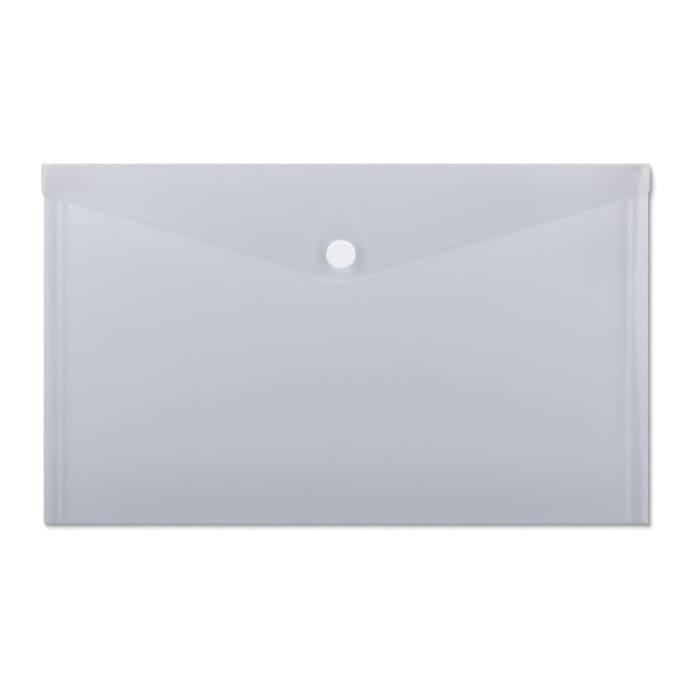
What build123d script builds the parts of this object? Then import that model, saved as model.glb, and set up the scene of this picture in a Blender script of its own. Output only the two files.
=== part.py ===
from build123d import *
import os
from math import hypot

# Document wallet: a frosted plastic envelope that lies on its back, with a pointed flap and a press stud.
# X runs along the width, Y from the bottom fold up to the top fold, and Z up from the surface it lies on.
# The origin is the middle of its footprint. Lengths are in millimetres.

# Sheet and pocket
SHEET = 0.2
POCKET_WIDTH = 248.0
POCKET_HEIGHT = 148.0
POCKET_ROOM = 0.5
MOUTH_DEPTH = 11.0
SCORE_GAP = 0.1
CUT_OVERRUN = 5.0

# Side gussets: each is a strip of the sheet pleated inwards between the two panels
GUSSET_DEPTH = 7.4
GUSSET_FOOT = 1.0
GUSSET_HEAD = 2.5
GUSSET_TURN_SHARE = 0.28
GUSSET_BEND_SHARE = 0.4

# Flap and the crease that it hangs on
FLAP_OVERHANG = 1.0
FLAP_DEPTH = 50.0
FLAP_SIDE_DEPTH = 13.1
FLAP_TIP_RADIUS = 34.0
FLAP_CORNER_RADIUS = 4.0
FLAP_MOUTH_CLEARANCE = 0.6
FLAP_LEVEL_MARGIN = 5.0
FLAP_BEND_RADIUS = 60.0
TIP_SHIFT = -2.0
CREASE_HEIGHT = 1.5
CREASE_BEND_SHARE = 0.46

# Embossed rib that follows the pointed edge of the flap
RIB_INSET = 3.7
RIB_WIDTH = 0.6
RIB_HEIGHT = 0.1
RIB_END_INSET = 5.0

# Press stud: a cap with a prong outside each sheet, riveted through a socket or a stud on the other side
SNAP_TIP_INSET = 12.2
SNAP_FIT = 0.1
CAP_DIAMETER = 12.0
CAP_HEIGHT = 1.1
CAP_SHOULDER_SHARE = 0.7
PRONG_DIAMETER = 1.8
PRONG_CLEARANCE = 0.1
RIVET_LEDGE = 0.5
RIVET_HEIGHT = 0.3
RIVET_CLEARANCE = 0.2
SOCKET_DIAMETER = 10.6
SOCKET_HEIGHT = 1.4
SOCKET_WEB = 0.3
SOCKET_LIP = 0.35
SOCKET_CHAMFER = 0.25
STUD_DIAMETER = 10.2
STUD_FLANGE = 0.4
STUD_CHAMFER = 0.15
STUD_WALL = 0.55
BULB_LEDGE = 0.15

# Radii and heights of the press stud
cap_radius = CAP_DIAMETER / 2
prong_radius = PRONG_DIAMETER / 2
prong_hole_radius = prong_radius + PRONG_CLEARANCE
rivet_radius = prong_radius + RIVET_LEDGE
bore_radius = rivet_radius + RIVET_CLEARANCE
neck_radius = bore_radius + STUD_WALL
bulb_radius = neck_radius + BULB_LEDGE
lip_radius = neck_radius + SNAP_FIT
cavity_radius = bulb_radius + SNAP_FIT
neck_height = STUD_FLANGE + SNAP_FIT + SOCKET_LIP
stud_height = STUD_FLANGE + SOCKET_HEIGHT - SOCKET_WEB - RIVET_HEIGHT

# Levels of the sheets, from the back panel up to the flap where it carries the snap
front_bottom = SHEET + CAP_HEIGHT + POCKET_ROOM
front_top = front_bottom + SHEET
flap_bottom = front_top + STUD_FLANGE + SNAP_FIT + SOCKET_HEIGHT
flap_top = flap_bottom + SHEET
flap_over_mouth = front_top + FLAP_MOUTH_CLEARANCE + SHEET

# Lines across the wallet, from the bottom fold up to the top fold
bottom_y = -POCKET_HEIGHT / 2
top_y = POCKET_HEIGHT / 2
fold_radius = front_top / 2
fold_y = bottom_y + fold_radius
gusset_foot_y = fold_y + GUSSET_FOOT
tip_y = top_y - FLAP_DEPTH
snap_y = tip_y + SNAP_TIP_INSET
level_y = snap_y + cap_radius + FLAP_LEVEL_MARGIN
mouth_y = top_y - MOUTH_DEPTH
crease_y = top_y - CREASE_HEIGHT
gusset_head_y = crease_y - GUSSET_HEAD

# Widths, and the turns of the gussets beside the panels
flap_half_width = POCKET_WIDTH / 2 + FLAP_OVERHANG
gusset_turn = GUSSET_TURN_SHARE * (front_top - SHEET)
panel_half_width = POCKET_WIDTH / 2 - SHEET - gusset_turn
flap_edge_slope = (FLAP_DEPTH - FLAP_SIDE_DEPTH) / flap_half_width

snap_axis = Axis((TIP_SHIFT, snap_y, 0), (0, 0, 1))


def upright(level):
    """Plane of a snap piece's half section, with its height running up from a level."""
    return Plane(origin=(TIP_SHIFT, snap_y, level), x_dir=(1, 0, 0), z_dir=(0, -1, 0))


def hanging(level):
    """Plane of a snap piece's half section, with its height running down from a level."""
    return Plane(origin=(TIP_SHIFT, snap_y, level), x_dir=(1, 0, 0), z_dir=(0, 1, 0))


def cap_points(prong_reach):
    """Half section of a cap, from its crown to the rivet head at the end of its prong."""
    rivet_end = -prong_reach - RIVET_HEIGHT
    return [
        (0, CAP_HEIGHT),
        (cap_radius, CAP_HEIGHT),
        (cap_radius, 0),
        (prong_radius, 0),
        (prong_radius, -prong_reach),
        (rivet_radius, -prong_reach),
        (rivet_radius, rivet_end),
        (0, rivet_end),
    ]


def slope_height(y):
    """Height of the flap's outer face between the crease and the mouth."""
    return CREASE_HEIGHT + (flap_over_mouth - CREASE_HEIGHT) * (top_y - y) / MOUTH_DEPTH


def edge_point(x, inset=0):
    """Point of the flap's pointed edge, before rounding, at a place across the width."""
    inward = inset * hypot(1, flap_edge_slope)
    return (x, tip_y + inward + abs(x - TIP_SHIFT) * flap_edge_slope)


def flap_face_points(lift):
    """Side view of the flap's outer face, lifted by a height, from the crease to past the tip."""
    return [
        (crease_y, slope_height(crease_y) + lift),
        (mouth_y, flap_over_mouth + lift),
        (level_y, flap_top + lift),
        (tip_y - CUT_OVERRUN, flap_top + lift),
    ]


os.makedirs("parts", exist_ok=True)

# Back panel, with the full width kept beyond both ends of the gussets
with BuildPart() as back_panel:
    with BuildSketch(Plane.XY) as back_outline:
        with Locations((0, (fold_y + crease_y) / 2)):
            Rectangle(2 * panel_half_width, crease_y - fold_y)
        with Locations((0, (gusset_head_y + SCORE_GAP + crease_y) / 2)):
            Rectangle(2 * flap_half_width, crease_y - gusset_head_y - SCORE_GAP)
        with Locations((0, (fold_y + gusset_foot_y - SCORE_GAP) / 2)):
            Rectangle(POCKET_WIDTH, gusset_foot_y - SCORE_GAP - fold_y)
    extrude(amount=SHEET)
back_panel.part.label = "back_panel"
export_step(back_panel.part, "parts/back_panel.step")

# Bottom fold: half a turn of the sheet from the back panel up to the front panel
with BuildPart() as bottom_fold:
    with BuildSketch(Plane.YZ) as fold_section:
        with BuildLine():
            fold_line = RadiusArc((fold_y, 0), (fold_y, front_top), fold_radius)
            offset(fold_line, amount=SHEET, side=Side.RIGHT)
        make_face()
    extrude(amount=POCKET_WIDTH / 2, both=True)
bottom_fold.part.label = "bottom_fold"
export_step(bottom_fold.part, "parts/bottom_fold.step")

# Front panel, from the bottom fold up to the open mouth, with a hole for the stud's prong
with BuildPart() as front_panel:
    with BuildSketch(Plane.XY.offset(front_bottom)) as front_outline:
        with Locations((0, (fold_y + SCORE_GAP + mouth_y) / 2)):
            Rectangle(2 * panel_half_width, mouth_y - fold_y - SCORE_GAP)
        with Locations((0, (fold_y + gusset_foot_y) / 2)):
            Rectangle(POCKET_WIDTH, gusset_foot_y - fold_y - 2 * SCORE_GAP)
        with Locations((TIP_SHIFT, snap_y)):
            Circle(prong_hole_radius, mode=Mode.SUBTRACT)
    extrude(amount=SHEET)
front_panel.part.label = "front_panel"
export_step(front_panel.part, "parts/front_panel.step")

# Left gusset: a pleat with its inner crease halfway between the panels, cut off on a slant at the mouth
pleat_start_x = -panel_half_width - SCORE_GAP
pleat_outer_x = (SHEET - POCKET_WIDTH) / 2
pleat_inner_x = GUSSET_DEPTH - POCKET_WIDTH / 2
pleat_low = SHEET / 2
pleat_high = front_top - SHEET / 2
pleat_middle = front_top / 2

with BuildPart() as left_gusset:
    with BuildSketch(Plane.XZ.offset(-gusset_foot_y)) as pleat_section:
        with BuildLine():
            pleat_line = FilletPolyline(
                (pleat_start_x, pleat_low),
                (pleat_outer_x, pleat_low),
                (pleat_outer_x, pleat_low + gusset_turn),
                (pleat_inner_x, pleat_middle - gusset_turn / 2),
                (pleat_inner_x, pleat_middle + gusset_turn / 2),
                (pleat_outer_x, pleat_high - gusset_turn),
                (pleat_outer_x, pleat_high),
                (pleat_start_x, pleat_high),
                radius=GUSSET_BEND_SHARE * gusset_turn,
            )
        trace(pleat_line, line_width=SHEET)
    extrude(amount=gusset_foot_y - gusset_head_y)
    with BuildSketch(Plane.YZ) as head_cut:
        with BuildLine():
            Polyline(
                (gusset_head_y, 0),
                (gusset_head_y + CUT_OVERRUN, 0),
                (gusset_head_y + CUT_OVERRUN, front_top),
                (mouth_y, front_top),
                close=True,
            )
        make_face()
    extrude(amount=POCKET_WIDTH, both=True, mode=Mode.SUBTRACT)
left_gusset.part.label = "left_gusset"
export_step(left_gusset.part, "parts/left_gusset.step")

# Right gusset: the left one mirrored
with BuildPart() as right_gusset:
    mirror(left_gusset.part, about=Plane.YZ)
right_gusset.part.label = "right_gusset"
export_step(right_gusset.part, "parts/right_gusset.step")

# Flap crease: the top fold that the flap swings on
crease_end_y = crease_y + SCORE_GAP

with BuildPart() as flap_crease:
    with BuildSketch(Plane.YZ) as crease_section:
        with BuildLine():
            crease_line = FilletPolyline(
                (crease_end_y, 0),
                (top_y, 0),
                (top_y, CREASE_HEIGHT),
                (crease_end_y, slope_height(crease_end_y)),
                radius=CREASE_BEND_SHARE * CREASE_HEIGHT,
            )
            offset(crease_line, amount=SHEET, side=Side.LEFT)
        make_face()
    extrude(amount=flap_half_width, both=True)
flap_crease.part.label = "flap_crease"
export_step(flap_crease.part, "parts/flap_crease.step")

# Flap: a sheet that rises from the crease over the mouth and runs level past the snap. Its raised copy is
# cut down to the embossed rib first, then the sheet joins it and both are cut to the pointed outline.
rib_left_x = RIB_END_INSET - flap_half_width
rib_right_x = flap_half_width - RIB_END_INSET

with BuildPart() as flap:
    with BuildSketch(Plane.YZ) as raised_section:
        with BuildLine():
            raised_line = FilletPolyline(*flap_face_points(RIB_HEIGHT), radius=FLAP_BEND_RADIUS)
            offset(raised_line, amount=SHEET, side=Side.LEFT)
        make_face()
    extrude(amount=flap_half_width, both=True)
    with BuildSketch(Plane.XY) as rib_outline:
        with BuildLine():
            rib_line = FilletPolyline(
                edge_point(rib_left_x, RIB_INSET),
                edge_point(TIP_SHIFT, RIB_INSET),
                edge_point(rib_right_x, RIB_INSET),
                radius=FLAP_TIP_RADIUS - RIB_INSET,
            )
        trace(rib_line, line_width=RIB_WIDTH)
    extrude(amount=flap_top + CUT_OVERRUN, mode=Mode.INTERSECT)
    with BuildSketch(Plane.YZ) as flap_section:
        with BuildLine():
            flap_line = FilletPolyline(*flap_face_points(0), radius=FLAP_BEND_RADIUS)
            offset(flap_line, amount=SHEET, side=Side.LEFT)
        make_face()
    extrude(amount=flap_half_width, both=True)
    with BuildSketch(Plane.XY) as flap_outline:
        with BuildLine():
            Polyline(
                (-flap_half_width, top_y),
                edge_point(-flap_half_width),
                edge_point(TIP_SHIFT),
                edge_point(flap_half_width),
                (flap_half_width, top_y),
                close=True,
            )
        make_face()
        tip_corner = flap_outline.vertices().sort_by(Axis.Y)[0]
        fillet(tip_corner, radius=FLAP_TIP_RADIUS)
        side_corners = flap_outline.vertices().sort_by(Axis.Y)[2:4]
        fillet(side_corners, radius=FLAP_CORNER_RADIUS)
        with Locations((TIP_SHIFT, snap_y)):
            Circle(prong_hole_radius, mode=Mode.SUBTRACT)
    extrude(amount=flap_top + CUT_OVERRUN, mode=Mode.INTERSECT)
flap.part.label = "flap"
export_step(flap.part, "parts/flap.step")

# Snap cap on the flap's outer face, with its prong riveted inside the socket
with BuildPart() as snap_cap:
    with BuildSketch(upright(flap_top)) as cap_section:
        with BuildLine():
            Polyline(*cap_points(SHEET + SOCKET_WEB), close=True)
        make_face()
        cap_rim = cap_section.vertices().group_by(Axis.Y)[-1].sort_by(Axis.X)[-1]
        fillet(cap_rim, radius=CAP_SHOULDER_SHARE * CAP_HEIGHT)
    revolve(axis=snap_axis)
snap_cap.part.label = "snap_cap"
export_step(snap_cap.part, "parts/snap_cap.step")

# Snap socket under the flap, with a lip that the stud's bulb clicks past
with BuildPart() as snap_socket:
    with BuildSketch(hanging(flap_bottom)) as socket_section:
        with BuildLine():
            Polyline(
                (prong_hole_radius, 0),
                (SOCKET_DIAMETER / 2, 0),
                (SOCKET_DIAMETER / 2, SOCKET_HEIGHT),
                (lip_radius, SOCKET_HEIGHT),
                (lip_radius, SOCKET_HEIGHT - SOCKET_LIP),
                (cavity_radius, SOCKET_HEIGHT - SOCKET_LIP - SNAP_FIT),
                (cavity_radius, SOCKET_WEB),
                (prong_hole_radius, SOCKET_WEB),
                close=True,
            )
        make_face()
        socket_rim = socket_section.vertices().group_by(Axis.Y)[-1].sort_by(Axis.X)[-1]
        chamfer(socket_rim, length=SOCKET_CHAMFER)
    revolve(axis=snap_axis)
snap_socket.part.label = "snap_socket"
export_step(snap_socket.part, "parts/snap_socket.step")

# Snap stud on the front panel: a flange with a hollow, double-tapered bulb on a narrower neck
with BuildPart() as snap_stud:
    with BuildSketch(upright(front_top)) as stud_section:
        with BuildLine():
            Polyline(
                (neck_radius, STUD_FLANGE),
                (neck_radius, neck_height),
                (bulb_radius, (neck_height + stud_height) / 2),
                (neck_radius, stud_height),
                (bore_radius, stud_height),
                (bore_radius, STUD_FLANGE),
                (prong_hole_radius, STUD_FLANGE),
                (prong_hole_radius, 0),
                (STUD_DIAMETER / 2, 0),
                (STUD_DIAMETER / 2, STUD_FLANGE),
                close=True,
            )
        make_face()
        stud_rim = stud_section.vertices().group_by(Axis.X)[-1].sort_by(Axis.Y)[-1]
        chamfer(stud_rim, length=STUD_CHAMFER)
    revolve(axis=snap_axis)
snap_stud.part.label = "snap_stud"
export_step(snap_stud.part, "parts/snap_stud.step")

# Stud cap inside the pocket, with its prong riveted inside the stud
with BuildPart() as snap_stud_cap:
    with BuildSketch(hanging(front_bottom)) as stud_cap_section:
        with BuildLine():
            Polyline(*cap_points(SHEET + STUD_FLANGE), close=True)
        make_face()
        stud_cap_rim = stud_cap_section.vertices().group_by(Axis.Y)[-1].sort_by(Axis.X)[-1]
        fillet(stud_cap_rim, radius=CAP_SHOULDER_SHARE * CAP_HEIGHT)
    revolve(axis=snap_axis)
snap_stud_cap.part.label = "snap_stud_cap"
export_step(snap_stud_cap.part, "parts/snap_stud_cap.step")
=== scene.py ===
from math import atan2, cos, hypot, pi, radians, sin, tan

import bpy
import numpy as np
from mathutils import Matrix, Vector, kdtree
from mathutils.geometry import delaunay_2d_cdt


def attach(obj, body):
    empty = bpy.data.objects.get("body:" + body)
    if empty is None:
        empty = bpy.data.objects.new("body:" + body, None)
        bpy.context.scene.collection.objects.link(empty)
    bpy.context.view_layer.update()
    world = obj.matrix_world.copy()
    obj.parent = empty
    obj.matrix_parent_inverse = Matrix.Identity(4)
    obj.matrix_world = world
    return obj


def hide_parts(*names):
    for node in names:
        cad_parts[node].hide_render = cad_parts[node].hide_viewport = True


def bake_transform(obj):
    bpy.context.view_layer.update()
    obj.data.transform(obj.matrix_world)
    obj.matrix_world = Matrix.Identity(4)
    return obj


# Frosted document wallet, lying on its back on a white floor and seen from straight above.
# Sizes are in millimetres here, as in the part's source, and meshes are written in metres.
MM = 0.001

# Sheet, pocket and pleats
SHEET = 0.2
POCKET_HALF = 124.0
PANEL_HALF = 123.296
FRONT_TOP = 2.0
FOLD_Y = -73.0
GUSSET_FOOT_Y = -72.0
MOUTH_Y = 63.0
GUSSET_HEAD_Y = 70.0
PLEAT_X = 116.6
PLEAT_OUTER_X = 123.9
PLEAT_TURN = 0.3
PLEAT_BEND = 0.2

# Top fold, and the height of the flap's outer face where it leaves the fold
CREASE_Y = 72.5
TOP_Y = 74.0
CREASE_HEIGHT = 1.5
CREASE_LIP = 1.677
CREASE_BEND = 0.6

# Ends of the flap, its pointed edge and its rib; the right end is 0.3 shorter than the source's
FLAP_LEFT = -125.0
FLAP_RIGHT = 124.7
TIP_X = -2.0
TIP_Y = 24.0
TIP_RADIUS = 34.0
CORNER_RADIUS = 4.0
EDGE_SLOPE = 0.2952
EDGE_SECANT = hypot(1, EDGE_SLOPE)
ROUND_Y = TIP_Y + TIP_RADIUS * EDGE_SECANT
RIB_INSET = 3.7
RIB_HALF_WIDTH = 0.5
RIB_HEIGHT = 0.015
RIB_END = 118.0
RIB_WHITE_END = 120.0
RIB_FADE = 3.0
CUT_WIDTH = 1.0
CUT_SHARE = 0.85
CUT_FADE = 15.0
CUT_WHITE = 0.6

# Press stud
SNAP_X = -2.0
SNAP_Y = 36.2
SNAP_HOLE = 1.0
FLAP_AT_SNAP = 4.1
CAP_RADIUS = 6.0
CAP_HEIGHT = 1.1
CAP_SHOULDER = 0.3
CAP_CROWN = 0.12
DISH_RADIUS = 4.0
DISH_DEPTH = 0.03
PRONG_RADIUS = 0.9
RIVET_RADIUS = 1.4
RIVET_HEIGHT = 0.3
SOCKET_RADIUS = 5.3
SOCKET_HEIGHT = 1.4
SOCKET_WEB = 0.3
LIP_RADIUS = 2.25
CAVITY_RADIUS = 2.4
LIP_HEIGHT = 0.35
STUD_RADIUS = 5.1
STUD_FLANGE = 0.4
STUD_HEIGHT = 1.2
NECK_RADIUS = 2.15
NECK_HEIGHT = 0.85
BULB_RADIUS = 2.3
BORE_RADIUS = 1.6
EDGE_ROUND = 0.1
EDGE_BEVEL = 0.15
LIP_ROUND = 0.3

# Swell and dip of the front panel, and the soft edge of the pale strips along its sides
SWELL = 0.65
SWELL_SIDE = 6.0
SWELL_FOOT = 16.0
SWELL_MOUTH = 18.0
MOUTH_SHARE = 0.45
GLOW_SWELL = 0.3
GLOW_REACH = 4.5
GLOW_FOOT = 60.0
VALLEY = 0.35
VALLEY_FOOT = 12.0
STRIP_BLUR = 1.6

# How the flap lies on the front panel, rises to the snap and droops at its right corner
SLOPE_AT_MOUTH = 2.8
FLAP_GAP = 0.02
VALLEY_SHARE = 0.95
REST_BLEND = 0.35
SNAP_SEAT = 6.2
LIFT_REACH = 4.5
PULL_REACH = 2.5
STRETCH_ABOVE = 0.5
STRETCH_BELOW = 1.3
LIFT_FADE = 20.0
DROOP = 1.0
DROOP_SIDE = 0.9
DROOP_TOP = 66.0
DROOP_FADE = 4.0

# Fineness of the meshes
GRID = 3.0
BACK_GRID = 6.0
GUIDE_INSET = 0.8
HOLE_RINGS = (1.0, 2.2)
RING_POINTS = 32
CAP_RING_POINTS = 48
LATHE_POINTS = 72
ALONG_POINTS = 85
TURN_POINTS = 17
GUSSET_POINTS = 60
SHARP_ANGLE = 35.0

# Tones that are painted on the points of a sheet: whitening mixed with painted light, painted
# shade, opacity and a grey cast
TONES = ("whitening_and_painted_light", "shade", "opacity", "neutral")

# Grain of both plastics: noise scale over metres, and depth
GRAIN_SCALE = 3000.0
GRAIN_DEPTH = 0.04

# Colours of the lamps
WARM = (1, 0.98, 0.94)
COOL = (0.85, 0.93, 1)


def smooth(t):
    """Smooth step from 0 to 1."""
    t = np.clip(t, 0, 1)
    return t * t * (3 - 2 * t)


def rise(value, start, length):
    """0 up to a start, then smoothly up to 1 over a length."""
    return smooth((value - start) / length)


def fall(value, end, length):
    """1 until a length before an end, then smoothly down to 0 there."""
    return smooth((end - value) / length)


def band(distance, half_width):
    """1 on a line, falling smoothly to 0 beside it."""
    return np.exp(-((distance / half_width) ** 2))


def spot(x, y, centre, reach):
    """1 at a centre, falling smoothly to 0 around it."""
    return band(x - centre[0], reach[0]) * band(y - centre[1], reach[1])


def rounded(corners, radii, steps=10):
    """Points of a polyline with its inner corners rounded."""
    points = [np.array(corners[0], float)]
    for before, corner, after, radius in zip(corners, corners[1:], corners[2:], radii):
        corner = np.array(corner, float)
        back = np.array(before, float) - corner
        ahead = np.array(after, float) - corner
        back /= np.linalg.norm(back)
        ahead /= np.linalg.norm(ahead)
        half = np.arccos(np.clip(back @ ahead, -1, 1)) / 2
        middle = (back + ahead) / np.linalg.norm(back + ahead)
        centre = corner + middle * radius / sin(half)
        first = corner + back * radius / tan(half) - centre
        last = corner + ahead * radius / tan(half) - centre
        start = atan2(first[1], first[0])
        turn = (atan2(last[1], last[0]) - start + pi) % (2 * pi) - pi
        for k in range(steps + 1):
            angle = start + turn * k / steps
            points.append(centre + radius * np.array((cos(angle), sin(angle))))
    points.append(np.array(corners[-1], float))
    return np.array(points)


def divided(points, longest):
    """The same line with points added so that no run is longer than a length."""
    points = np.asarray(points, float)
    line = [points[0]]
    for start, end in zip(points, points[1:]):
        count = max(1, int(np.ceil(np.linalg.norm(end - start) / longest)))
        line += [start + (end - start) * k / count for k in range(1, count + 1)]
    return np.array(line)


def closed_outline(corners):
    """Outline through its corners and back to the first, with points added along it."""
    return divided(np.vstack((corners, corners[:1])), GRID)[:-1]


def snap_ring(radius, count):
    """Ring of points round the snap's axis that ends where it starts."""
    turns = np.linspace(0, 2 * pi, count + 1)
    return np.stack((SNAP_X + radius * np.cos(turns), SNAP_Y + radius * np.sin(turns)), axis=1)


def new_piece(name, vertices, polygons):
    """Smooth mesh object from points in millimetres."""
    mesh = bpy.data.meshes.new(name)
    mesh.from_pydata([tuple(v) for v in np.asarray(vertices) * MM], [], polygons)
    mesh.polygons.foreach_set("use_smooth", [True] * len(mesh.polygons))
    piece = bpy.data.objects.new(name, mesh)
    bpy.context.scene.collection.objects.link(piece)
    return piece


def paint(piece, tone, values):
    """Store a tone of the material on a piece's points."""
    attribute = piece.data.attributes.new(tone, "FLOAT", "POINT")
    attribute.data.foreach_set("value", np.asarray(values, np.float32))


def neutral_cast(x, y):
    """How far the sheet's blue gives way to grey, most of all towards the top corners: a painted
    cast of the warmer light that falls there.
    """
    return 0.7 * rise(y, -10, 84) * (0.55 + 0.35 * rise(np.abs(x), 60, 60))


def closed_sheet(name, upper, lower, normal, faces, tones):
    """Sheet between two faces that share their normals, closed by a rim all round."""
    count = len(upper)
    used = {edge for face in faces for edge in zip(face, face[1:] + face[:1])}
    rim = [(a, b) for a, b in sorted(used) if (b, a) not in used]
    polygons = list(faces)
    polygons += [tuple(i + count for i in reversed(face)) for face in faces]
    polygons += [(b, a, a + count, b + count) for a, b in rim]
    piece = new_piece(name, np.vstack((upper, lower)), polygons)
    corner_normals = [normal[i] for face in faces for i in face]
    corner_normals += [-normal[i] for face in faces for i in reversed(face)]
    for a, b in rim:
        outward = np.cross(upper[b] - upper[a], normal[a] + normal[b])
        corner_normals += [outward / np.linalg.norm(outward)] * 4
    piece.data.normals_split_custom_set(corner_normals)
    plain = np.zeros(count)
    cast = neutral_cast(upper[:, 0], upper[:, 1])
    tones = {**tones, "neutral": tones.get("neutral", plain) + cast}
    for tone in TONES:
        paint(piece, tone, np.tile(tones.get(tone, plain), 2))
    return piece


def plan_lines(outline, guides, hole):
    """Points and edges of an outline, of guide lines and of two rings round the snap's hole."""
    radii = [share * SNAP_HOLE for share in HOLE_RINGS] if hole else []
    lines = [(outline, True)] + [(guide, False) for guide in guides]
    lines += [(snap_ring(radius, RING_POINTS)[:-1], True) for radius in radii]
    points = []
    edges = []
    for line, closed in lines:
        first = len(points)
        points += [tuple(p) for p in line]
        edges += [(first + k, first + k + 1) for k in range(len(line) - 1)]
        if closed:
            edges.append((len(points) - 1, first))
    return points, edges


def plan_grid(outline, points, spacing):
    """Grid of points over an outline that keeps clear of the points already there."""
    clearance = 0.55 * spacing
    tree = kdtree.KDTree(len(points))
    for index, point in enumerate(points):
        tree.insert((*point, 0), index)
    tree.balance()
    low = np.min(outline, axis=0) + spacing / 2
    high = np.max(outline, axis=0)
    grid = []
    for x in np.arange(low[0], high[0], spacing):
        for y in np.arange(low[1], high[1], spacing):
            if tree.find((x, y, 0))[2] > clearance:
                grid.append((x, y))
    return grid


def plan_triangles(outline, guides, spacing, hole):
    """Triangles that fill an outline, drawn through guide lines and left out of a round hole."""
    points, edges = plan_lines(outline, guides, hole)
    points += plan_grid(outline, points, spacing)
    found = delaunay_2d_cdt([Vector(p) for p in points], edges, [], 1, 1e-7)
    flat = np.array([tuple(v) for v in found[0]])
    faces = []
    for face in found[2]:
        centre = flat[face].mean(axis=0)
        if not hole or hypot(centre[0] - SNAP_X, centre[1] - SNAP_Y) > SNAP_HOLE:
            faces.append(list(face))
    kept = sorted({i for face in faces for i in face})
    place = {old: new for new, old in enumerate(kept)}
    return flat[kept], [tuple(place[i] for i in face) for face in faces]


def panel_sheet(name, outline, guides, height, tones, hole=False, spacing=GRID, thinning=None):
    """Sheet whose outer face follows a height over its outline, thinned where asked."""
    flat, faces = plan_triangles(outline, guides, spacing, hole)
    x, y = flat[:, 0], flat[:, 1]
    step = 0.05
    slope_x = (height(x + step, y) - height(x - step, y)) / (2 * step)
    slope_y = (height(x, y + step) - height(x, y - step)) / (2 * step)
    normal = np.stack((-slope_x, -slope_y, np.ones_like(x)), axis=1)
    normal /= np.linalg.norm(normal, axis=1)[:, None]
    outer = np.stack((x, y, height(x, y)), axis=1)
    inner = outer - normal * SHEET
    if thinning:
        outer = outer - normal * (SHEET * thinning(x, y))[:, None]
    return closed_sheet(name, outer, inner, normal, faces, tones(x, y))


def swept_sheet(name, middle, tones):
    """Sheet whose middle surface is a grid of points, rows by columns."""
    along_rows = np.gradient(middle, axis=0)
    along_columns = np.gradient(middle, axis=1)
    normal = np.cross(along_rows, along_columns)
    normal /= np.linalg.norm(normal, axis=2)[:, :, None]
    rows, columns = middle.shape[:2]
    faces = []
    for i in range(rows - 1):
        for j in range(columns - 1):
            corner = i * columns + j
            faces.append((corner, corner + columns, corner + columns + 1, corner + 1))
    tones = {tone: values.reshape(-1) for tone, values in tones.items()}
    middle = middle.reshape(-1, 3)
    normal = normal.reshape(-1, 3)
    upper = middle + normal * SHEET / 2
    lower = middle - normal * SHEET / 2
    return closed_sheet(name, upper, lower, normal, faces, tones)


def lathe(name, section):
    """Closed ring or disc turned about the snap's axis from a section of radius and height."""
    vertices = []
    rings = []
    for radius, height in section:
        if radius == 0:
            rings.append([len(vertices)])
            vertices.append((SNAP_X, SNAP_Y, height))
            continue
        rings.append(list(range(len(vertices), len(vertices) + LATHE_POINTS)))
        vertices += [(x, y, height) for x, y in snap_ring(radius, LATHE_POINTS)[:-1]]
    pairs = list(zip(rings, rings[1:]))
    if len(rings[0]) > 1:
        pairs.append((rings[-1], rings[0]))
    polygons = []
    for one, two in pairs:
        for k in range(LATHE_POINTS):
            following = (k + 1) % LATHE_POINTS
            if len(one) == 1:
                polygons.append((one[0], two[following], two[k]))
            elif len(two) == 1:
                polygons.append((one[k], one[following], two[0]))
            else:
                polygons.append((one[k], one[following], two[following], two[k]))
    piece = new_piece(name, vertices, polygons)
    piece.data.set_sharp_from_angle(angle=radians(SHARP_ANGLE))
    return piece


def flap_inset(x, y):
    """Distance inside the flap's pointed edge, negative outside it."""
    across = np.abs(x - TIP_X)
    straight = (y - TIP_Y - across * EDGE_SLOPE) / EDGE_SECANT
    turned = TIP_RADIUS - np.hypot(across, y - ROUND_Y)
    return np.where(across < EDGE_SLOPE * (ROUND_Y - y), turned, straight)


def edge_corners(inset, left, right):
    """Corners of the line at a distance inside the flap's pointed edge, between two places."""
    lift = inset * EDGE_SECANT
    return [(x, TIP_Y + lift + abs(x - TIP_X) * EDGE_SLOPE) for x in (left, TIP_X, right)]


def edge_line(inset, end):
    """Line at a distance inside the flap's pointed edge, out to a place across the width."""
    corners = edge_corners(inset, -end, end)
    return divided(rounded(corners, [TIP_RADIUS - inset], 16), GRID)


def pleat_guides(offsets, low, high):
    """Upright guide lines at distances beyond both pleats."""
    places = [side * (PLEAT_X + outer) for outer in offsets for side in (-1, 1)]
    return [divided([(x, low), (x, high)], GRID) for x in places]


def snap_hold(x, y, reach):
    """1 where the snap holds a sheet, falling to 0 around it, further out above the snap."""
    along = (y - SNAP_Y) * np.where(y > SNAP_Y, STRETCH_ABOVE, STRETCH_BELOW)
    return band(np.maximum(np.hypot(x - SNAP_X, along) - SNAP_SEAT, 0), reach)


def strip_start(x, y):
    """How far beyond the pleat the pale outer strip begins, at each height."""
    left = 4.4 + 1.5 * rise(y, 0, 55)
    right = 1.8 + 2.9 * fall(y, 18, 80) + 1.4 * rise(y, 18, 45) + 1.9 * rise(y, 64, 7)
    return np.where(x < 0, left, right)


def outer_strip(x, y):
    """1 on the pale strip along each side, 0 inside it."""
    return rise(np.abs(x) - PLEAT_X, strip_start(x, y) - STRIP_BLUR / 2, STRIP_BLUR)


def valley(x, y):
    """How far the front panel dips along the pleats."""
    outer = np.abs(x) - PLEAT_X
    start = np.clip(strip_start(x, y) - STRIP_BLUR / 2, 0.5, 5.0)
    beyond = 1 - rise(outer, start, PANEL_HALF - PLEAT_X - start)
    within = np.exp(np.minimum(outer, 0) / SWELL_SIDE)
    return VALLEY * np.where(outer > 0, beyond, within) * rise(y, FOLD_Y, VALLEY_FOOT)


def off_pleats(x):
    """0 at the pleats and beyond them, rising to 1 between them."""
    return 1 - np.exp(-np.maximum(PLEAT_X - np.abs(x), 0) / SWELL_SIDE)


def swell(x, y):
    """How far the front panel stands above its flat level, away from the snap."""
    foot = 1 - np.exp(-np.maximum(y - FOLD_Y, 0) / SWELL_FOOT)
    mouth = MOUTH_SHARE + (1 - MOUTH_SHARE) * fall(y, MOUTH_Y, SWELL_MOUTH)
    return SWELL * off_pleats(x) * foot * mouth


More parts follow.
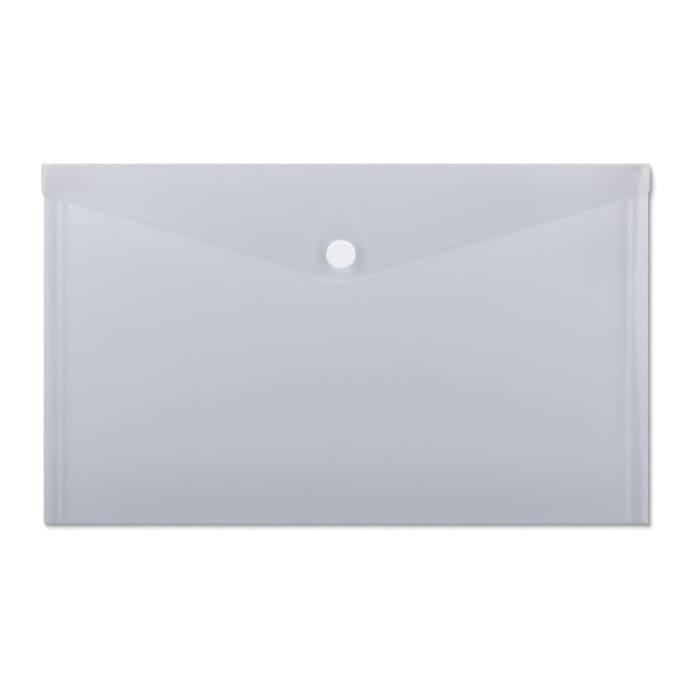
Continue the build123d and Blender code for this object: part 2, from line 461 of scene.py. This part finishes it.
def front_height(x, y):
    """Height of the front panel's outer face."""
    below = np.maximum(-flap_inset(x, y), 0)
    bulge = GLOW_SWELL * (1 - np.exp(-below / GLOW_REACH))
    bulge = bulge * off_pleats(x) * rise(y, FOLD_Y, GLOW_FOOT)
    return FRONT_TOP + swell(x, y) * (1 - snap_hold(x, y, PULL_REACH)) + bulge - valley(x, y)


def flap_rest(x, y):
    """Height of the flap's outer face where it slopes up from the crease and lies on the front."""
    slope = CREASE_LIP + (CREASE_Y - y) * (SLOPE_AT_MOUTH - CREASE_LIP) / (CREASE_Y - MOUTH_Y)
    level = FRONT_TOP + swell(x, y) - VALLEY_SHARE * valley(x, y) + FLAP_GAP + SHEET
    ramp = np.maximum(REST_BLEND - np.abs(slope - level), 0) / REST_BLEND
    return np.minimum(slope, level) - ramp * ramp * REST_BLEND / 4


def flap_height(x, y):
    """Height of the flap's outer face, with its lift to the snap, its rib and its droop."""
    resting = flap_rest(x, y)
    hold = snap_hold(x, y, LIFT_REACH)
    raised = np.maximum(resting, resting * (1 - hold) + FLAP_AT_SNAP * hold)
    lift = (raised - resting) * fall(y, CREASE_Y, LIFT_FADE)
    rib = RIB_HEIGHT * smooth(1 - np.abs(flap_inset(x, y) - RIB_INSET) / RIB_HALF_WIDTH)
    rib = rib * fall(np.abs(x), RIB_END, RIB_FADE)
    droop = DROOP * rise(x, POCKET_HALF, DROOP_SIDE) * fall(y, DROOP_TOP, DROOP_FADE)
    return resting + lift + rib - droop


def panel_sides(top):
    """Corners up a panel's right side and down its left, narrower beside the gussets."""
    right = [
        (POCKET_HALF, FOLD_Y),
        (POCKET_HALF, GUSSET_FOOT_Y),
        (PANEL_HALF, GUSSET_FOOT_Y),
        (PANEL_HALF, top),
    ]
    return right, [(-x, y) for x, y in reversed(right)]


def back_sheet():
    """Back of the pocket, wider beyond both ends of the gussets."""
    right, left = panel_sides(GUSSET_HEAD_Y)
    head = [
        (FLAP_RIGHT, GUSSET_HEAD_Y),
        (FLAP_RIGHT, CREASE_Y),
        (FLAP_LEFT, CREASE_Y),
        (FLAP_LEFT, GUSSET_HEAD_Y),
    ]
    return panel_sheet(
        "back_sheet",
        closed_outline(right + head + left),
        [],
        lambda x, y: np.full_like(x, SHEET),
        lambda x, y: {},
        spacing=BACK_GRID,
    )


def pleat_band(x, y):
    """Distance from the line that shows along each pleat, and 1 on the band around it."""
    outer = np.abs(x) - PLEAT_X
    across = np.where(x < 0, outer - 0.5, outer + 0.7 - 0.7 * rise(y, -30, 75))
    return across, rise(across, -1.4, 0.5) * fall(across, 1.4, 0.5)


def edge_glow(x, y):
    """Painted glow of light on the front just below the flap's edge, strongest under the tip."""
    beyond = -flap_inset(x, y)
    wide = (0.3 + 0.12 * rise(-x, 40, 60)) * np.exp(-np.maximum(beyond, 0) / 7.0)
    narrow = 0.15 * band(beyond, 0.7)
    tip = 0.35 * band(beyond, 1.6) * band(x - TIP_X, 9.0)
    inside = fall(np.abs(x), PLEAT_X - 1.0, 3)
    return (wide + narrow + tip) * (0.2 + 0.8 * inside)


def front_whitening_and_light(x, y):
    """Whitening and painted light on the front: pale lines along the pleats and the mouth, painted
    light beyond the pleats and on the outer strips, and a painted glow below the flap.
    """
    left = x < 0
    across, ridge = pleat_band(x, y)
    pleat = np.where(left, 0.15, 0.22) * ridge + np.where(left, 0.12, 0.15) * band(across, 0.45)
    # Painted light just beyond the pleats and on the pale outer strips
    pleated = np.where(left, 0.04, 0.12 * rise(y, -40, 80))
    pleated = pleated * rise(np.abs(x), PLEAT_X - 0.75, 1.5)
    strip = np.where(left, 0.3, 0.5) * outer_strip(x, y)
    mouth = 0.1 * band(y - MOUTH_Y, 0.6)
    return np.maximum(pleat + pleated + strip + edge_glow(x, y), mouth)


def front_shade(x, y):
    """Shade on the front beside the pleats, at the right top, in the middle and at the foot."""
    outer = np.abs(x) - PLEAT_X
    left_pleat = 0.08 * band(outer + 1.7, 1.0)
    left_pleat = left_pleat + (0.03 + 0.08 * rise(y, 0, 40)) * band(outer - 3.4, 1.3)
    right_pleat = 0.17 * rise(y, -60, 90) * band(outer + 3.2, 2.2)
    right_top = 0.09 * rise(x, 80, 30) * rise(y, 15, 25)
    middle = 0.035 * spot(x, y, (30, -20), (80, 22))
    foot = (0.16 - 0.04 * rise(np.abs(x), 60, 50)) * fall(y, FOLD_Y + 35, 35)
    return np.where(x < 0, left_pleat, right_pleat) + right_top + middle + foot


def front_tones(x, y):
    """Tones of the front panel."""
    return {
        "whitening_and_painted_light": front_whitening_and_light(x, y),
        "shade": front_shade(x, y),
        "neutral": 0.6 * pleat_band(x, y)[1],
    }


def front_sheet():
    """Front of the pocket up to its mouth, swelling a little between the pleats and the flap."""
    right, left = panel_sides(MOUTH_Y)
    outline = closed_outline(right + left)
    offsets = (-2.5, -1.7, -1.2, -0.8, -0.4, 0.0, 0.4, 0.8, 1.4, 2.0, 2.7, 3.4, 4.1, 4.8, 5.5)
    guides = pleat_guides(offsets, FOLD_Y + GUIDE_INSET, MOUTH_Y - GUIDE_INSET)
    guides += [edge_line(inset, PLEAT_X - 3.5) for inset in (0.0, -1.2, -2.6)]
    return panel_sheet("front_sheet", outline, guides, front_height, front_tones, hole=True)


def flap_ends(x):
    """1 on the ends of the flap that stand out beyond the pocket, where it looks solid."""
    return rise(np.abs(x), POCKET_HALF - 0.6, 0.7)


def flap_whitening_and_light(x, y):
    """Whitening along the flap's cut edge, where it is also a painted highlight, along its rib and
    as pale lines over the pleats; painted light over the strips, below the cap and above the tip.
    """
    left = x < 0
    across = np.abs(x)
    inset = flap_inset(x, y)
    edge = np.where(left, 0.75, 0.65) + 0.15 * band(x - TIP_X, 20.0)
    edge = edge * np.clip(1 - inset / CUT_WHITE, 0, 1)
    edge = edge * fall(across, FLAP_RIGHT - CORNER_RADIUS, CORNER_RADIUS)
    rib = np.clip(1 - np.abs(inset - RIB_INSET) / RIB_HALF_WIDTH, 0, 1)
    rib = 0.16 * rib * fall(across, RIB_WHITE_END, RIB_FADE)
    # Painted light over the pale strips along the sides, less on the solid ends
    strip = np.where(left, 0.2, 0.5) * outer_strip(x, y) * (1 - 0.8 * flap_ends(x))
    pleat = 0.09 * band(across - PLEAT_X - 0.4, 0.5)
    # Painted pools of light below the cap and above the flap's tip
    below_cap = 0.9 * spot(x, y, (SNAP_X, SNAP_Y - 6.3), (5.0, 1.8))
    above_tip = 0.6 * spot(x, y, (SNAP_X, SNAP_Y - 9.0), (8.0, 3.0))
    return np.maximum(edge, rib) + strip + pleat + below_cap + above_tip


def snap_shade(x, y):
    """Shade on the flap on both sides of the cap, along its top and further above it."""
    beside = np.abs(x - SNAP_X) - CAP_RADIUS
    sides = 0.27 * band(beside - 1.0, 2.3) * band(y - SNAP_Y - 1.0, 4.5)
    top = 0.1 * spot(x, y, (SNAP_X, SNAP_Y + 7.0), (6.0, 1.8))
    above = 0.04 * spot(x, y, (SNAP_X, SNAP_Y + 17.8), (10.0, 9.0))
    return sides + top + above


def corner_shade(x, y):
    """Shade in the top corners of the flap, deeper on the right."""
    across = np.abs(x)
    wide = 0.02 * rise(across, 88, 20) * rise(y, 45, 15)
    end = 118.5 + 5.0 * rise(y, 68, 3)
    near = rise(across, 96, 19) * fall(across, end, 3) * band(y - 68.5, 6.0)
    right = 0.12 * band(x - 119.5, 3.0) * rise(y, 68.5, 3)
    return wide + np.where(x < 0, 0.09, 0.145) * near + right


def flap_shade(x, y):
    """All the shade on the flap, with that over the mouth, inside its edge and on its ends."""
    inset = flap_inset(x, y)
    mouth = 0.05 * rise(y, 58, 8)
    right_half = 0.07 * rise(x, 15, 60) * (1 - 0.6 * rise(y, 62, 6))
    # Painted shade in the band between the rib and the cut edge
    edge_band_shade = 0.02 * rise(inset, 0.5, 0.6) * fall(inset, RIB_INSET + 0.4, 0.8)
    ends = np.where(x < 0, 0.36 - 0.1 * fall(y, 72, 8), 0.4) * flap_ends(x)
    return mouth + right_half + edge_band_shade + ends + corner_shade(x, y) + snap_shade(x, y)


def flap_tones(x, y):
    """Tones of the flap."""
    return {
        "whitening_and_painted_light": flap_whitening_and_light(x, y),
        "shade": flap_shade(x, y),
        "opacity": flap_ends(x),
    }


def cut_edge(x, y):
    """Share of the flap's thickness that is taken off along its cut edge."""
    return CUT_SHARE * fall(flap_inset(x, y), CUT_WIDTH, CUT_WIDTH) * fall(y, CREASE_Y, CUT_FADE)


def flap_sheet():
    """Pointed flap with its embossed rib and a cut edge that catches the light."""
    edge = edge_corners(0, FLAP_LEFT, FLAP_RIGHT)
    corners = [(FLAP_LEFT, CREASE_Y)] + edge + [(FLAP_RIGHT, CREASE_Y)]
    outline = closed_outline(rounded(corners, [CORNER_RADIUS, TIP_RADIUS, CORNER_RADIUS], 16))
    insets = (CUT_WHITE / 2, CUT_WHITE, CUT_WIDTH)
    guides = [edge_line(inset, FLAP_RIGHT - CORNER_RADIUS) for inset in insets]
    for shift in (-1.0, -0.6, -0.25, 0.0, 0.25, 0.6, 1.0):
        guides.append(edge_line(RIB_INSET + shift * RIB_HALF_WIDTH, RIB_WHITE_END))
    offsets = (-0.4, 0.0, 0.4, 0.8, 1.6, 2.4, 3.6, 4.8, 6.0, 6.8, 7.5)
    guides += pleat_guides(offsets, MOUTH_Y - 1.4, CREASE_Y - GUIDE_INSET)
    guides += [snap_ring(CAP_RADIUS + beyond, CAP_RING_POINTS) for beyond in (0.4, 1.2)]
    return panel_sheet(
        "flap_sheet", outline, guides, flap_height, flap_tones, hole=True, thinning=cut_edge
    )


def grid_of(path, places, point):
    """Grid of points with one row for each point of a path and one column for each place."""
    return np.array([[point(p, place) for place in places] for p in path], float)


def crease_sheet():
    """Top fold that the flap swings on."""
    half = SHEET / 2
    corners = [
        (CREASE_Y, half),
        (TOP_Y - half, half),
        (TOP_Y - half, CREASE_HEIGHT - half),
        (CREASE_Y, CREASE_LIP - half),
    ]
    path = rounded(corners, [CREASE_BEND, CREASE_BEND], 10)
    places = np.linspace(FLAP_LEFT, FLAP_RIGHT, ALONG_POINTS)
    grid = grid_of(path, places, lambda p, x: (x, p[0], p[1]))
    # Painted shade on the fold's steep turn and at its right end
    turn = 0.15 * rise(grid[:, :, 1], CREASE_Y + 0.4, 0.6)
    right = 0.15 * band(grid[:, :, 0] - 118.5, 4.0)
    return swept_sheet("crease_sheet", grid, {"shade": turn + right})


def bottom_fold_sheet():
    """Half turn of the sheet along the bottom edge."""
    radius = (FRONT_TOP - SHEET) / 2
    turns = np.linspace(-pi / 2, -3 * pi / 2, TURN_POINTS)
    path = [(FOLD_Y + radius * cos(t), FRONT_TOP / 2 + radius * sin(t)) for t in turns]
    places = np.linspace(-POCKET_HALF, POCKET_HALF, ALONG_POINTS)
    grid = grid_of(path, places, lambda p, x: (x, p[0], p[1]))
    # Whitened as a crease; the whitening also paints the highlight along the fold's edge
    return swept_sheet("bottom_fold_sheet", grid, {"whitening_and_painted_light": np.full(grid.shape[:2], 0.6)})


def gusset_sheet(name, side):
    """Side strip pleated inwards between the panels, cut off on a slant at the mouth."""
    low = SHEET / 2
    high = FRONT_TOP - SHEET / 2
    middle = FRONT_TOP / 2
    corners = [
        (PANEL_HALF, low),
        (PLEAT_OUTER_X, low),
        (PLEAT_OUTER_X, low + PLEAT_TURN),
        (PLEAT_X, middle - PLEAT_TURN / 2),
        (PLEAT_X, middle + PLEAT_TURN / 2),
        (PLEAT_OUTER_X, high - PLEAT_TURN),
        (PLEAT_OUTER_X, high),
        (PANEL_HALF, high),
    ]
    path = divided(rounded(corners, [PLEAT_BEND] * 6, 6), 1.0)
    shares = np.linspace(0, 1, GUSSET_POINTS)

    def point(p, share):
        top = GUSSET_HEAD_Y - p[1] * (GUSSET_HEAD_Y - MOUTH_Y) / FRONT_TOP
        return (side * p[0], GUSSET_FOOT_Y + share * (top - GUSSET_FOOT_Y), p[1])

    grid = grid_of(path if side > 0 else path[::-1], shares, point)
    out = np.abs(grid[:, :, 0])
    folds = 0.3 * band(out - PLEAT_X, 1.0) + 0.4 * band(out - PLEAT_OUTER_X, 0.5)
    return swept_sheet(name, grid, {"whitening_and_painted_light": 0.2 + folds})


def arc(centre, radius, start, end, steps=8):
    """Points of an arc in a section, between two angles in degrees."""
    turns = np.radians(np.linspace(start, end, steps + 1))
    return [(centre[0] + radius * cos(t), centre[1] + radius * sin(t)) for t in turns]


def cap_section(seat, reach, way):
    """Section of a cap on its seat, with a shallow dish in its crown and a prong the other way."""
    top = CAP_HEIGHT + CAP_CROWN
    side = CAP_RADIUS - CAP_SHOULDER
    section = [
        (0, top - DISH_DEPTH),
        (DISH_RADIUS, top - DISH_DEPTH),
        (DISH_RADIUS + 0.4, top),
        (DISH_RADIUS + 0.8, top - 0.15 * CAP_CROWN),
        (DISH_RADIUS + 1.2, top - 0.45 * CAP_CROWN),
        (side, CAP_HEIGHT),
    ]
    section += arc((side, CAP_HEIGHT - CAP_SHOULDER), CAP_SHOULDER, 80, 0)
    section += [
        (CAP_RADIUS, 0),
        (PRONG_RADIUS, 0),
        (PRONG_RADIUS, -reach),
        (RIVET_RADIUS - EDGE_ROUND, -reach),
        (RIVET_RADIUS, -reach - EDGE_ROUND),
        (RIVET_RADIUS - EDGE_BEVEL, -reach - RIVET_HEIGHT),
        (0, -reach - RIVET_HEIGHT),
    ]
    placed = [(radius, seat + way * height) for radius, height in section]
    return placed[::-1] if way > 0 else placed


def snap_cap():
    """White cap on the flap's outer face, with painted shade on its lower right shoulder."""
    cap = lathe("snap_cap_turned", cap_section(FLAP_AT_SNAP, SHEET + SOCKET_WEB, 1))
    points = np.array([tuple(v.co) for v in cap.data.vertices]) / MM
    across = (points[:, 0] - SNAP_X + 0.33) / 5.8
    along = (points[:, 1] - SNAP_Y - 0.45) / 5.45
    paint(cap, "shade", 0.1 * rise(np.hypot(across, along), 0.96, 0.2))
    return cap


def snap_stud_cap():
    """White cap inside the pocket, under the front panel."""
    section = cap_section(FRONT_TOP - SHEET, SHEET + STUD_FLANGE, -1)
    return lathe("snap_stud_cap_turned", section)


def snap_socket():
    """Socket under the flap, with a lip that the stud's bulb clicks past."""
    top = FLAP_AT_SNAP - SHEET
    lip = top - SOCKET_HEIGHT
    section = [
        (SNAP_HOLE, top),
        (SOCKET_RADIUS, top),
        (SOCKET_RADIUS, lip + LIP_ROUND),
        (SOCKET_RADIUS - EDGE_ROUND, lip + EDGE_ROUND),
        (SOCKET_RADIUS - LIP_ROUND, lip),
        (LIP_RADIUS + EDGE_ROUND, lip),
        (LIP_RADIUS, lip + EDGE_ROUND),
        (LIP_RADIUS, lip + LIP_HEIGHT),
        (CAVITY_RADIUS, lip + LIP_HEIGHT + EDGE_ROUND),
        (CAVITY_RADIUS, top - SOCKET_WEB),
        (SNAP_HOLE, top - SOCKET_WEB),
    ]
    return lathe("snap_socket_turned", section[::-1])


def snap_stud():
    """Flange with a hollow bulb on the front panel."""
    seat = FRONT_TOP
    section = [
        (SNAP_HOLE, seat),
        (STUD_RADIUS, seat),
        (STUD_RADIUS, seat + STUD_FLANGE - EDGE_BEVEL),
        (STUD_RADIUS - EDGE_BEVEL, seat + STUD_FLANGE),
        (NECK_RADIUS, seat + STUD_FLANGE),
        (NECK_RADIUS, seat + NECK_HEIGHT),
        (BULB_RADIUS - 0.03, seat + NECK_HEIGHT + EDGE_ROUND),
        (BULB_RADIUS, seat + (NECK_HEIGHT + STUD_HEIGHT) / 2),
        (BULB_RADIUS - 0.04, seat + STUD_HEIGHT - 0.08),
        (NECK_RADIUS, seat + STUD_HEIGHT),
        (BORE_RADIUS, seat + STUD_HEIGHT),
        (BORE_RADIUS, seat + STUD_FLANGE),
        (SNAP_HOLE, seat + STUD_FLANGE),
    ]
    return lathe("snap_stud_turned", section)


def node(tree, kind, place, **values):
    """New shader node at a place, with its properties set."""
    made = tree.nodes.new(kind)
    made.location = place
    for key, value in values.items():
        setattr(made, key, value)
    return made


def tone_of(tree, name, place):
    """Tone that is painted on the piece's points."""
    return node(tree, "ShaderNodeAttribute", place, attribute_name=name).outputs["Fac"]


def noise(tree, scale, detail, place):
    """Noise texture over the object's own coordinates."""
    coordinates = node(tree, "ShaderNodeTexCoord", (place[0] - 200, place[1]))
    texture = node(tree, "ShaderNodeTexNoise", place)
    texture.inputs["Scale"].default_value = scale
    texture.inputs["Detail"].default_value = detail
    tree.links.new(coordinates.outputs["Object"], texture.inputs["Vector"])
    return texture.outputs["Fac"]


def remap(tree, value, low, high, place):
    """The value's range 0 to 1 stretched to another range."""
    stretch = node(tree, "ShaderNodeMapRange", place)
    stretch.inputs["To Min"].default_value = low
    stretch.inputs["To Max"].default_value = high
    tree.links.new(value, stretch.inputs["Value"])
    return stretch.outputs["Result"]


def grain_bump(tree, shader, strength, place):
    """Fine grain on a shader's normal."""
    bump = node(tree, "ShaderNodeBump", place)
    bump.inputs["Strength"].default_value = strength
    bump.inputs["Distance"].default_value = GRAIN_DEPTH * MM
    grain = noise(tree, GRAIN_SCALE, 2, (place[0] - 250, place[1]))
    tree.links.new(grain, bump.inputs["Height"])
    tree.links.new(bump.outputs["Normal"], shader.inputs["Normal"])


def mixed(tree, kind, factor, first, second, place):
    """Mix of two values or colours by a factor that varies over the surface."""
    mix = node(tree, "ShaderNodeMix", place, data_type=kind)
    sockets = [s for s in mix.inputs if s.enabled]
    tree.links.new(factor, sockets[0])
    for socket, value in zip(sockets[1:], (first, second)):
        if isinstance(value, bpy.types.NodeSocket):
            tree.links.new(value, socket)
        else:
            socket.default_value = value
    return [s for s in mix.outputs if s.enabled][0]


def sheet_colour(tree, whitening_and_painted_light):
    """Blue frost with fine speckles and wide clouds, then a grey cast, painted shade, and whitening
    with painted light, as painted on the points.
    """
    cloud = noise(tree, 18, 3, (-1300, 200))
    frost = remap(tree, noise(tree, GRAIN_SCALE, 2, (-1500, 450)), -0.8, 1.8, (-1250, 450))
    dull = (0.715, 0.757, 0.86, 1)
    plain = (0.745, 0.787, 0.89, 1)
    bright = (0.76, 0.802, 0.905, 1)
    # Grey of the cast, which towards the top stands in for the warmer light there
    grey = (0.775, 0.795, 0.84, 1)
    # Colour of the painted shade
    dark = (0.2, 0.2, 0.23, 1)
    # Colour of the whitening and of the painted glows and highlights
    white = (0.87, 0.915, 1, 1)
    neutral = tone_of(tree, "neutral", (-900, -300))
    shade = tone_of(tree, "shade", (-900, -100))
    colour = mixed(tree, "RGBA", cloud, dull, plain, (-1050, 200))
    colour = mixed(tree, "RGBA", frost, colour, bright, (-850, 200))
    colour = mixed(tree, "RGBA", neutral, colour, grey, (-700, 200))
    colour = mixed(tree, "RGBA", shade, colour, dark, (-500, 200))
    return mixed(tree, "RGBA", whitening_and_painted_light, colour, white, (-300, 200))


def sheet_material():
    """Frosted see-through plastic, whiter where creased or cut and where light is painted on,
    nearly solid at the flap's ends.
    """
    material = bpy.data.materials.new("frosted_sheet")
    material.use_nodes = True
    tree = material.node_tree
    shader = tree.nodes["Principled BSDF"]
    # Whitening of creases and cut edges, which also carries painted glows, pale strips of light and
    # highlights
    whitening_and_painted_light = tone_of(tree, "whitening_and_painted_light", (-900, 0))
    opacity = tone_of(tree, "opacity", (-900, -200))
    tree.links.new(sheet_colour(tree, whitening_and_painted_light), shader.inputs["Base Color"])
    frosted = mixed(tree, "FLOAT", whitening_and_painted_light, 0.40, 0.62, (-500, 0))
    alpha = mixed(tree, "FLOAT", opacity, frosted, 0.96, (-300, 0))
    tree.links.new(alpha, shader.inputs["Alpha"])
    roughness = remap(tree, noise(tree, 900, 2, (-600, -200)), 0.34, 0.44, (-350, -200))
    tree.links.new(roughness, shader.inputs["Roughness"])
    grain_bump(tree, shader, 0.15, (-350, -450))
    return material


def snap_material():
    """White moulded plastic with a faint grain, darkened where painted shade is stored."""
    material = bpy.data.materials.new("white_moulded_plastic")
    material.use_nodes = True
    tree = material.node_tree
    shader = tree.nodes["Principled BSDF"]
    cloud = noise(tree, 250, 3, (-900, 200))
    shade = tone_of(tree, "shade", (-900, 0))
    dull = (0.81, 0.835, 0.895, 1)
    plain = (0.85, 0.875, 0.935, 1)
    dark = (0.68, 0.69, 0.73, 1)
    colour = mixed(tree, "RGBA", cloud, dull, plain, (-550, 200))
    colour = mixed(tree, "RGBA", shade, colour, dark, (-350, 200))
    tree.links.new(colour, shader.inputs["Base Color"])
    roughness = remap(tree, noise(tree, 1500, 2, (-600, -200)), 0.30, 0.38, (-350, -200))
    tree.links.new(roughness, shader.inputs["Roughness"])
    grain_bump(tree, shader, 0.05, (-350, -450))
    return material


def seen_directly(tree, place):
    """1 for rays of the camera, reflections and glass, 0 for light on its way round."""
    path = node(tree, "ShaderNodeLightPath", place)
    first = node(tree, "ShaderNodeMath", (place[0] + 200, place[1]), operation="MAXIMUM")
    second = node(tree, "ShaderNodeMath", (place[0] + 400, place[1]), operation="MAXIMUM")
    tree.links.new(path.outputs["Is Camera Ray"], first.inputs[0])
    tree.links.new(path.outputs["Is Glossy Ray"], first.inputs[1])
    tree.links.new(first.outputs["Value"], second.inputs[0])
    tree.links.new(path.outputs["Is Transmission Ray"], second.inputs[1])
    return second.outputs["Value"]


def floor_material():
    """Matt white ground that the camera sees as plain white outside the wallet's shadow."""
    material = bpy.data.materials.new("white_ground")
    material.use_nodes = True
    tree = material.node_tree
    shader = tree.nodes["Principled BSDF"]
    seen = seen_directly(tree, (-900, 0))
    colour = mixed(tree, "RGBA", seen, (0.85, 0.85, 0.85, 1), (1, 1, 1, 1), (-250, 0))
    tree.links.new(colour, shader.inputs["Base Color"])
    glow = mixed(tree, "FLOAT", seen, 0.0, 0.19, (-250, -200))
    tree.links.new(glow, shader.inputs["Emission Strength"])
    shader.inputs["Emission Color"].default_value = (1, 1, 1, 1)
    shader.inputs["Roughness"].default_value = 0.9
    shader.inputs["Specular IOR Level"].default_value = 0.0
    return material


def floor():
    """Plain ground just under the wallet's back."""
    reach = 3000.0
    below = -0.06
    corners = [(-reach, -reach), (reach, -reach), (reach, reach), (-reach, reach)]
    ground = new_piece("ground", [(x, y, below) for x, y in corners], [(0, 1, 2, 3)])
    ground.data.materials.append(floor_material())
    return ground


def world_light(strength):
    """Even white surroundings that light the wallet weakly and look white themselves."""
    world = bpy.data.worlds.new("studio")
    bpy.context.scene.world = world
    world.use_nodes = True
    tree = world.node_tree
    background = tree.nodes["Background"]
    level = mixed(tree, "FLOAT", seen_directly(tree, (-900, 0)), strength, 1.0, (-300, 0))
    tree.links.new(level, background.inputs["Strength"])
    background.inputs["Color"].default_value = (1, 1, 1, 1)


def lamp(kind, name, place, aim, power, colour=(1, 1, 1)):
    """Lamp at a place, turned to an aim, both in metres."""
    data = bpy.data.lights.new(name, kind)
    data.energy = power
    data.color = colour
    holder = bpy.data.objects.new(name, data)
    holder.location = place
    holder.rotation_euler = (Vector(aim) - Vector(place)).to_track_quat("-Z", "Y").to_euler()
    bpy.context.scene.collection.objects.link(holder)
    return holder


def all_but(name, piece):
    """Group for light linking that stands for everything but one piece."""
    group = bpy.data.collections.new(name)
    group.objects.link(piece)
    group.collection_objects[0].light_linking.link_state = "EXCLUDE"
    return group


def soft_lamp(name, place, aim, size, power, colour, unlit, unshadowed):
    """Wide square lamp that leaves one piece unlit and lets another throw no shadow."""
    holder = lamp("AREA", name, place, aim, power, colour)
    holder.data.size = size
    holder.light_linking.receiver_collection = all_but(name + "_lights", unlit)
    holder.light_linking.blocker_collection = all_but(name + "_shadows", unshadowed)


def ground_lamp(name, place, power, spread, ground):
    """Distant lamp for the ground alone, which throws the wallet's shadow on it."""
    holder = lamp("SUN", name, place, (0, 0, 0), power)
    holder.data.angle = radians(spread)
    receivers = bpy.data.collections.new(name + "_receivers")
    receivers.objects.link(ground)
    holder.light_linking.receiver_collection = receivers


def studio_light(ground, cap):
    """Soft lamps for the wallet, one lamp for the ground and weak light from all round."""
    world_light(0.08)
    soft_lamp(
        "left_lamp", place=(-0.37, 0.255, 0.29), aim=(-0.065, 0.095, 0),
        size=0.32, power=2.22, colour=WARM, unlit=ground, unshadowed=cap,
    )
    soft_lamp(
        "right_lamp", place=(0.40, 0.265, 0.37), aim=(0.12, 0.09, 0),
        size=0.32, power=2.74, colour=WARM, unlit=ground, unshadowed=cap,
    )
    soft_lamp(
        "fill_lamp", place=(0, -0.55, 0.14), aim=(0, 0, 0),
        size=0.3, power=0.56, colour=COOL, unlit=ground, unshadowed=cap,
    )
    ground_lamp("shadow_lamp", place=(-0.85, 1.2, 1), power=4.4, spread=38, ground=ground)


def camera():
    """Camera straight above the wallet, with its top towards +Y."""
    lens = 200.0
    sensor = 36.0
    view_width = 287.0
    view_x, view_y = 1.7, -2.7
    data = bpy.data.cameras.new("camera")
    data.lens = lens
    data.sensor_width = sensor
    data.clip_end = 20.0
    holder = bpy.data.objects.new("camera", data)
    height = view_width * lens / sensor + FRONT_TOP
    holder.location = (view_x * MM, view_y * MM, height * MM)
    bpy.context.scene.collection.objects.link(holder)
    bpy.context.scene.camera = holder


def dress(piece, material, slot, *nodes):
    """Give a piece its material and hide the nodes of the model that it stands for."""
    piece.data.materials.append(material)
    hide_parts(*nodes)
    return piece


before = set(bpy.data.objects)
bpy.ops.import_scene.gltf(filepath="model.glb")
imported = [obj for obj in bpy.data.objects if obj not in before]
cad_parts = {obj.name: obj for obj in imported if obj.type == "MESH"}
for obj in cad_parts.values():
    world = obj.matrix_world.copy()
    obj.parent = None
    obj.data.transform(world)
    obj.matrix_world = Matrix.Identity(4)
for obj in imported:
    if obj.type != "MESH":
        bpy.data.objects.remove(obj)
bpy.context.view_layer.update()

sheet = sheet_material()
snap = snap_material()

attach(dress(back_sheet(), sheet, "sheet", "back_panel"), "pocket")
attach(dress(front_sheet(), sheet, "sheet", "front_panel"), "front")
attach(dress(flap_sheet(), sheet, "sheet", "flap"), "flap")
cap = dress(snap_cap(), snap, "snap", "snap_cap")
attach(cap, "flap")
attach(dress(snap_socket(), snap, "snap", "snap_socket"), "flap")
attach(dress(snap_stud(), snap, "snap", "snap_stud"), "front")
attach(dress(snap_stud_cap(), snap, "snap", "snap_stud_cap"), "front")

crease = dress(crease_sheet(), sheet, "sheet", "flap_crease")
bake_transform(crease)
fold = dress(bottom_fold_sheet(), sheet, "sheet", "bottom_fold")
left = dress(gusset_sheet("left_gusset_sheet", -1), sheet, "sheet", "left_gusset")
right = dress(gusset_sheet("right_gusset_sheet", 1), sheet, "sheet", "right_gusset")
for piece in (fold, left, right):
    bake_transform(piece)

studio_light(floor(), cap)
camera()

# The layers of frosted sheet need more transparent bounces than Cycles allows by default
scene = bpy.context.scene
scene.cycles.transparent_max_bounces = 40
scene.view_settings.view_transform = "Standard"
